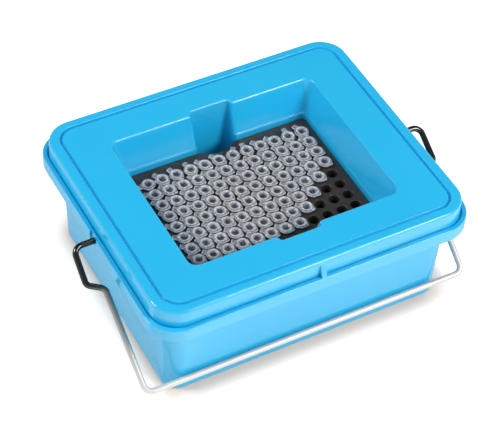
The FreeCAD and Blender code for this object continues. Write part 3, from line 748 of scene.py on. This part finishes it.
wire_path = bent_path(path_corners, bends)
run = np.linalg.norm(np.diff(wire_path, axis=0), axis=1)
print("wire length", round(run.sum(), 1), "mm in", len(wire_path), "points")

# %% The wire's surface
ROUND_STEPS = 20


def carried_circle(path, radius):
    """Circle carried along a flat path: point + radius (cos a normal + sin a plane normal)."""
    ahead = np.gradient(path, axis=0)
    ahead[0], ahead[-1] = path[1] - path[0], path[-1] - path[-2]
    ahead /= np.linalg.norm(ahead, axis=1, keepdims=True)
    normal = np.stack([-ahead[:, 1], ahead[:, 0]], -1)
    turn = np.arange(ROUND_STEPS) * 2 * np.pi / ROUND_STEPS
    flat = path[:, None, :] + radius * np.cos(turn)[None, :, None] * normal[:, None, :]
    up = np.broadcast_to(radius * np.sin(turn)[None, :], flat.shape[:2])
    return np.concatenate([flat, up[..., None]], -1)


def swing(points):
    """From the wire's own plane to the rest place: -y is out along the arm, tipped down."""
    x, out, up = points[..., 0], points[..., 1], points[..., 2]
    y = -out * math.cos(REST) - up * math.sin(REST)
    z = PIVOT_Z - out * math.sin(REST) + up * math.cos(REST)
    return np.stack([x, y, z], -1)


wire_rings = swing(carried_circle(wire_path, WIRE))
journal = right_corners[0, 0]
ends = swing(np.array([[journal, 0, 0], [-journal, 0, 0]]))
wire_points, wire_faces = close_stack(wire_rings, *ends)
handle = make_piece("wire_handle", wire_points, wire_faces, "handle", crisp=60)
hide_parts("handle")

# %% Places along and about the wire
# Painted light: within 45 mm of each end the wire is painted dark, a painted shade. After a 14 mm
# fade it is painted pale, a painted reflection of the bright floor.
DARK_PAINT_LENGTH, DARK_PAINT_FADE = 45.0, 14.0
along = np.concatenate([[0], np.cumsum(run)])
about = np.arange(ROUND_STEPS) * 2 * np.pi * WIRE / ROUND_STEPS
from_end = np.minimum(along, along[-1] - along)
painted_light = np.clip((from_end - DARK_PAINT_LENGTH) / DARK_PAINT_FADE, 0, 1)
for name, values in (("along", np.repeat(along, ROUND_STEPS)),
                     ("painted_light", np.repeat(painted_light, ROUND_STEPS)),
                     ("about", np.tile(about, len(wire_path)))):
    mark_points(handle, name, np.append(values, [0, 0]))
print("rubbed bright from", DARK_PAINT_LENGTH + DARK_PAINT_FADE, "mm of each end")

# %% [markdown]
# ## Finishes
# Every finish is built from nodes. A colour is written as the sRGB value that a paint chart
# gives, and one function turns it to the linear numbers that the shader needs. One small
# function adds a node with its settings and its links, and the same rule of values and
# links fills the shader's own inputs at the end of each finish.

# %% Helpers for the finishes
def colour(code):
    """Linear RGBA of an sRGB hex colour: c / 12.92, or ((c + 0.055) / 1.055) ** 2.4."""
    value = np.array([int(code[k:k + 2], 16) for k in (1, 3, 5)]) / 255
    linear = np.where(value <= 0.04045, value / 12.92, ((value + 0.055) / 1.055) ** 2.4)
    return (*linear.tolist(), 1.0)


def set_inputs(node, inputs):
    """Each input of a node is given a value, or a (node, output) pair to link it to."""
    for name, value in inputs.items():
        if isinstance(value, tuple) and isinstance(value[0], bpy.types.Node):
            node.id_data.links.new(value[0].outputs[value[1]], node.inputs[name])
        else:
            node.inputs[name].default_value = value


def add_node(tree, kind, inputs=None, **settings):
    """One node with its settings, its values and its links."""
    made = tree.nodes.new(kind)
    for name, value in settings.items():
        setattr(made, name, value)
    set_inputs(made, inputs or {})
    return made


def new_finish(name):
    """An empty node material, its shader and its object coordinates."""
    finish = bpy.data.materials.new(name)
    finish.use_nodes = True
    tree = finish.node_tree
    shader = tree.nodes["Principled BSDF"]
    place = add_node(tree, "ShaderNodeTexCoord")
    print("finish", name)
    return finish, tree, shader, place


# %% [markdown]
# ## Blue polypropylene
# The shell is glossy injection-moulded polypropylene. The polished mould leaves a smooth
# skin with a faint ripple, 3 to 4 mm from crest to crest, which makes the reflections
# swim a little, and handling leaves finer dulled patches. The pigment is even.

# %% Glossy moulded polypropylene
blue_shell, tree, shader, place = new_finish("glossy_blue_polypropylene")
cloud = add_node(tree, "ShaderNodeTexNoise",
                 {"Vector": (place, "Object"), "Scale": 22.0, "Detail": 3.0})
tint = add_node(tree, "ShaderNodeMix", data_type="RGBA",
                inputs={"Factor": (cloud, "Fac"), "A": colour("#22B8EC"), "B": colour("#28BEF2")})
dull = add_node(tree, "ShaderNodeTexNoise",
                {"Vector": (place, "Object"), "Scale": 90.0, "Detail": 4.0})
rough = add_node(tree, "ShaderNodeMapRange",
                 {"Value": (dull, "Fac"), "To Min": 0.15, "To Max": 0.22})
ripple = add_node(tree, "ShaderNodeTexNoise",
                  {"Vector": (place, "Object"), "Scale": 280.0, "Detail": 2.0})
skin = add_node(tree, "ShaderNodeBump",
                {"Height": (ripple, "Fac"), "Strength": 0.04, "Distance": 0.0001})
set_inputs(shader, {"Base Color": (tint, "Result"), "Roughness": (rough, "Result"),
                    "Normal": (skin, "Normal"), "IOR": 1.49, "Coat Weight": 0.45,
                    "Coat Roughness": 0.06})

# %% [markdown]
# ## Black plate
# The plate is a filled, near-black plastic with a slightly warm cast. Its top has a fine
# even grain of about 0.5 mm, so it shines softly, and the chamfers of the wells catch thin
# crescents of light.

# %% Satin filled plastic
dark_plate, tree, shader, place = new_finish("satin_black_plastic")
grain = add_node(tree, "ShaderNodeTexNoise",
                 {"Vector": (place, "Object"), "Scale": 1800.0, "Detail": 2.0})
patch = add_node(tree, "ShaderNodeTexNoise",
                 {"Vector": (place, "Object"), "Scale": 60.0, "Detail": 2.0})
tint = add_node(tree, "ShaderNodeMix", data_type="RGBA",
                inputs={"Factor": (patch, "Fac"), "A": colour("#29241F"), "B": colour("#3A342F")})
rough = add_node(tree, "ShaderNodeMapRange",
                 {"Value": (grain, "Fac"), "To Min": 0.34, "To Max": 0.50})
skin = add_node(tree, "ShaderNodeBump",
                {"Height": (grain, "Fac"), "Strength": 0.2, "Distance": 0.00005})
set_inputs(shader, {"Base Color": (tint, "Result"), "Roughness": (rough, "Result"),
                    "Normal": (skin, "Normal")})

# %% [markdown]
# ## Clear tubes
# The tubes are natural polypropylene: clear where it is thin and milky where it is thick.
# The haze value on the mesh mixes the two. Where it is low, the base colour is painted
# slate, a painted shade for the dark plate under the thin plastic. Where it is high, it is
# the white of thick plastic. A noise adds to the haze, so the milkiness differs at random,
# and its pale spots are also painted glints. The same noise waves the skin a little, about
# 1.3 mm from crest to crest, so the light breaks into small glints and no two caps look
# quite the same.

# %% Natural polypropylene
clear_tube, tree, shader, place = new_finish("natural_polypropylene")
haze_mark = add_node(tree, "ShaderNodeAttribute", attribute_name="haze")
mottle = add_node(tree, "ShaderNodeTexNoise",
                  {"Vector": (place, "Object"), "Scale": 750.0, "Detail": 3.0})
# Partly painted highlight: the noise makes the milkiness differ at random, and its pale spots stand
# for small glints.
spread = add_node(tree, "ShaderNodeMapRange",
                  {"Value": (mottle, "Fac"), "From Min": 0.3, "From Max": 0.7,
                   "To Min": -0.17, "To Max": 0.17})
mixed = add_node(tree, "ShaderNodeMath", operation="ADD",
                 inputs={0: (haze_mark, "Fac"), 1: (spread, "Result")})
# Painted shade: low haze gives a slate base colour for the dark well under the thin cap, and high
# haze gives the milky white of thick plastic.
milk_and_painted_shade = add_node(tree, "ShaderNodeValToRGB", {"Fac": (mixed, "Value")})
for stop, position, code in zip(milk_and_painted_shade.color_ramp.elements, (0.05, 0.85), ("#4E5A70", "#FFFFFF")):
    stop.position, stop.color = position, colour(code)
clear = add_node(tree, "ShaderNodeMapRange",
                 {"Value": (mixed, "Value"), "To Min": 0.72, "To Max": 0.14})
skin = add_node(tree, "ShaderNodeBump",
                {"Height": (mottle, "Fac"), "Strength": 1.0, "Distance": 0.00022})
set_inputs(shader, {"Base Color": (milk_and_painted_shade, "Color"), "Roughness": 0.10,
                    "Transmission Weight": (clear, "Result"), "Normal": (skin, "Normal"),
                    "IOR": 1.49})

# %% [markdown]
# ## Steel wire
# The handle is steel wire. Drawing it through a die leaves faint lines along its length,
# here 0.4 mm apart. The journals and loops are painted dark and smooth, a painted shade
# that stands for the dark surroundings they reflect, and they keep thin glints from the
# lamps. The arms and the bar are painted pale and satin, a painted reflection of the bright
# floor. A value on the mesh, measured along the wire from its ends, goes from one to the
# other.

# %% Polished drawn steel
steel_wire, tree, shader, place = new_finish("polished_drawn_steel")
about_mark = add_node(tree, "ShaderNodeAttribute", attribute_name="about")
along_mark = add_node(tree, "ShaderNodeAttribute", attribute_name="along")
slow = add_node(tree, "ShaderNodeMath", {0: (along_mark, "Fac"), 1: 0.02}, operation="MULTIPLY")
lines = add_node(tree, "ShaderNodeCombineXYZ", {"X": (about_mark, "Fac"), "Y": (slow, "Value")})
drawn = add_node(tree, "ShaderNodeTexNoise",
                 {"Vector": (lines, "Vector"), "Scale": 2.5, "Detail": 2.0})
# Painted light: a pale steel for the arms and the bar, and a dark one for the journals and loops.
bright = add_node(tree, "ShaderNodeMix", data_type="RGBA",
                  inputs={"Factor": (drawn, "Fac"), "A": colour("#D6D2CD"), "B": colour("#E6E2DC")})
dark = add_node(tree, "ShaderNodeMix", data_type="RGBA",
                inputs={"Factor": (drawn, "Fac"), "A": colour("#353231"), "B": colour("#5C5856")})
# The mark that chooses between the painted dark and the painted pale, with roughness and metal to
# match.
painted_light_mark = add_node(tree, "ShaderNodeAttribute", attribute_name="painted_light")
steel = add_node(tree, "ShaderNodeMix", data_type="RGBA",
                 inputs={"Factor": (painted_light_mark, "Fac"),
                         "A": (dark, "Result"), "B": (bright, "Result")})
rough = add_node(tree, "ShaderNodeMapRange",
                 {"Value": (painted_light_mark, "Fac"), "To Min": 0.10, "To Max": 0.45})
metal = add_node(tree, "ShaderNodeMapRange",
                 {"Value": (painted_light_mark, "Fac"), "To Min": 1.0, "To Max": 0.30})
set_inputs(shader, {"Base Color": (steel, "Result"), "Roughness": (rough, "Result"),
                    "Metallic": (metal, "Result")})

# %% [markdown]
# ## Coolant gel
# The gel fills the closed space between tub and cover and can't be seen while the cooler
# is shut. It is a pale blue water gel with a few small bubbles.

# %% Water gel with bubbles
coolant, tree, shader, place = new_finish("pale_water_gel")
bubbles = add_node(tree, "ShaderNodeTexVoronoi", {"Vector": (place, "Object"), "Scale": 160.0})
tint = add_node(tree, "ShaderNodeMix", data_type="RGBA",
                inputs={"Factor": (bubbles, "Distance"),
                        "A": colour("#BFE6F2"), "B": colour("#8CCFE6")})
set_inputs(shader, {"Base Color": (tint, "Result"), "Roughness": 0.15,
                    "Transmission Weight": 0.4})

# %% Putting the finishes on
for piece, finish in [(top_cover, blue_shell), (gusset, blue_shell), (base_tub, blue_shell),
                      (well_plate, dark_plate), (handle, steel_wire)]:
    piece.data.materials.append(finish)
for row_piece in tube_rows:
    row_piece.data.materials.append(clear_tube)
gel = frame["nodes"]["coolant_gel"]
gel.data.materials.clear()
gel.data.materials.append(coolant)

# %% [markdown]
# ## Floor, light and camera
# The cooler stands on a plain white sweep, a matt white that shows the soft shadow. A
# little light of its own, to the camera alone, keeps the open floor white. Within 13 mm of
# the cooler the ambient occlusion fades that light out and paints the paper a darker warm
# grey: a painted contact shadow on top of the real one. In front of the cooler the floor
# also glows white to reflections alone, a painted reflection that gives the shell's front
# wall its pale sheen. Softboxes stand to the front right and the back left, a small one
# hangs above, and the room is a pale dome.

# %% Floor
def floor_sheet(half):
    """A flat square of four points round the origin, a hair under the foot."""
    x, y = np.meshgrid([-half, half], [-half, half])
    points = np.stack([x, y, np.full(x.shape, -0.02 * MM)], -1).reshape(-1, 3)
    mesh = bpy.data.meshes.new("floor")
    mesh.from_pydata(points.tolist(), [], [[0, 1, 3, 2]])
    floor = bpy.data.objects.new("floor", mesh)
    bpy.context.scene.collection.objects.link(floor)
    return floor


floor = floor_sheet(6.0)
sweep, tree, shader, place = new_finish("matt_white_sweep")
rays = add_node(tree, "ShaderNodeLightPath")
FLOOR_LIFT, SHADE_LIFT, SHADE_REACH, SHADE_FULL = 0.56, 0.06, 0.013, 0.46
FRONT_START, FRONT_FULL, FRONT_GLOW = -0.06, -0.12, 1.00
# Painted shadow: where the ambient occlusion finds the cooler near, the paper is painted a darker
# warm grey, and the camera glow turns weaker and orange.
nearby = add_node(tree, "ShaderNodeAmbientOcclusion", {"Distance": SHADE_REACH}, samples=8)
open_air = add_node(tree, "ShaderNodeMapRange", {"Value": (nearby, "AO"), "From Min": SHADE_FULL})
paper_with_painted_shadow = add_node(tree, "ShaderNodeMix", data_type="RGBA",
                 inputs={"Factor": (open_air, "Result"),
                         "A": colour("#E2D2C7"), "B": colour("#F7F2EC")})
lift = add_node(tree, "ShaderNodeMapRange",
                {"Value": (open_air, "Result"), "To Min": SHADE_LIFT, "To Max": FLOOR_LIFT})
painted_shadow_warmth = add_node(tree, "ShaderNodeMix", data_type="RGBA",
                  inputs={"Factor": (open_air, "Result"),
                          "A": (1.0, 0.66, 0.40, 1.0), "B": (1.0, 1.0, 1.0, 1.0)})
strength = add_node(tree, "ShaderNodeMath", operation="MULTIPLY",
                    inputs={0: (rays, "Is Camera Ray"), 1: (lift, "Result")})
# Painted reflection: in front of the cooler the floor glows to glossy rays alone, up to FRONT_GLOW.
spot = add_node(tree, "ShaderNodeSeparateXYZ", {"Vector": (place, "Object")})
front = add_node(tree, "ShaderNodeMapRange",
                 {"Value": (spot, "Y"), "From Min": FRONT_START, "From Max": FRONT_FULL,
                  "To Max": FRONT_GLOW})
painted_reflection_glow = add_node(tree, "ShaderNodeMath", operation="MULTIPLY_ADD",
                 inputs={0: (rays, "Is Glossy Ray"), 1: (front, "Result"), 2: (strength, "Value")})
glow = add_node(tree, "ShaderNodeEmission",
                {"Color": (painted_shadow_warmth, "Result"), "Strength": (painted_reflection_glow, "Value")})
set_inputs(shader, {"Base Color": (paper_with_painted_shadow, "Result"), "Roughness": 0.9})
both = add_node(tree, "ShaderNodeAddShader", {0: (shader, "BSDF"), 1: (glow, "Emission")})
set_inputs(tree.nodes["Material Output"], {"Surface": (both, "Shader")})
floor.data.materials.append(sweep)

# %% Room and softboxes
ROOM_DIM, ROOM_BRIGHT, LOW_WALLS = 0.16, 0.36, 0.50
room = bpy.data.worlds.new("pale_room")
bpy.context.scene.world = room
room.use_nodes = True
tree = room.node_tree
back = tree.nodes["Background"]
rays = add_node(tree, "ShaderNodeLightPath")
place = add_node(tree, "ShaderNodeTexCoord")
parts = add_node(tree, "ShaderNodeSeparateXYZ", {"Vector": (place, "Generated")})
low_band = add_node(tree, "ShaderNodeMapRange",
                    {"Value": (parts, "Z"), "From Min": 0.62, "From Max": 0.12,
                     "To Min": 0.0, "To Max": LOW_WALLS})
behind_eye = add_node(tree, "ShaderNodeVectorMath", operation="DOT_PRODUCT",
                      inputs={0: (place, "Generated"), 1: (-0.4, -0.9, 0.0)})
fill = add_node(tree, "ShaderNodeMapRange",
                {"Value": (behind_eye, "Value"), "From Min": -0.5, "From Max": 0.5,
                 "To Min": ROOM_DIM, "To Max": ROOM_BRIGHT})
shade = add_node(tree, "ShaderNodeMath", operation="ADD",
                 inputs={0: (low_band, "Result"), 1: (fill, "Result")})
seen = add_node(tree, "ShaderNodeMix",
                {"Factor": (rays, "Is Camera Ray"), "A": (shade, "Value"), "B": 1.0})
set_inputs(back, {"Color": (seen, "Result")})


def softbox(name, place, width, power):
    """A square area lamp at a place in metres, turned to look at the cooler's middle."""
    lamp = bpy.data.lights.new(name, "AREA")
    lamp.size, lamp.energy = width, power
    box = bpy.data.objects.new(name, lamp)
    bpy.context.scene.collection.objects.link(box)
    look = Vector((0, 0, 0.05)) - Vector(place)
    turn = look.to_track_quat("-Z", "Y").to_matrix().to_4x4()
    box.matrix_world = Matrix.Translation(Vector(place)) @ turn
    print(name, width, "m wide,", power, "W")


softbox("key_softbox", (0.56, -0.92, 0.90), 0.42, 10.7)
softbox("top_softbox", (0.34, 0.06, 1.20), 0.30, 0.8)
softbox("left_softbox", (-0.90, 0.50, 0.98), 0.38, 9.5)

# %% Camera
AZIMUTH, ELEVATION, ROLL = math.radians(-30.759), math.radians(46.752), math.radians(3.704)
AIM, DISTANCE, FOCAL_LENGTH = Vector((-9.53, -15.64, 51.4)) * MM, 1.02747, 133.31
away = Vector((math.sin(AZIMUTH) * math.cos(ELEVATION),
               -math.cos(AZIMUTH) * math.cos(ELEVATION),
               math.sin(ELEVATION)))
across = Vector((0, 0, 1)).cross(away).normalized()
upright = away.cross(across)
right = across * math.cos(ROLL) + upright * math.sin(ROLL)
above = upright * math.cos(ROLL) - across * math.sin(ROLL)
lens = bpy.data.cameras.new("camera")
lens.lens, lens.sensor_width = FOCAL_LENGTH, 36.0
camera = bpy.data.objects.new("camera", lens)
bpy.context.scene.collection.objects.link(camera)
eye = AIM + away * DISTANCE
turned = Matrix((right, above, away)).transposed().to_4x4()
camera.matrix_world = Matrix.Translation(eye) @ turned
bpy.context.scene.camera = camera
bpy.context.scene.view_settings.view_transform = "Standard"
print("camera at", [round(place, 3) for place in eye])
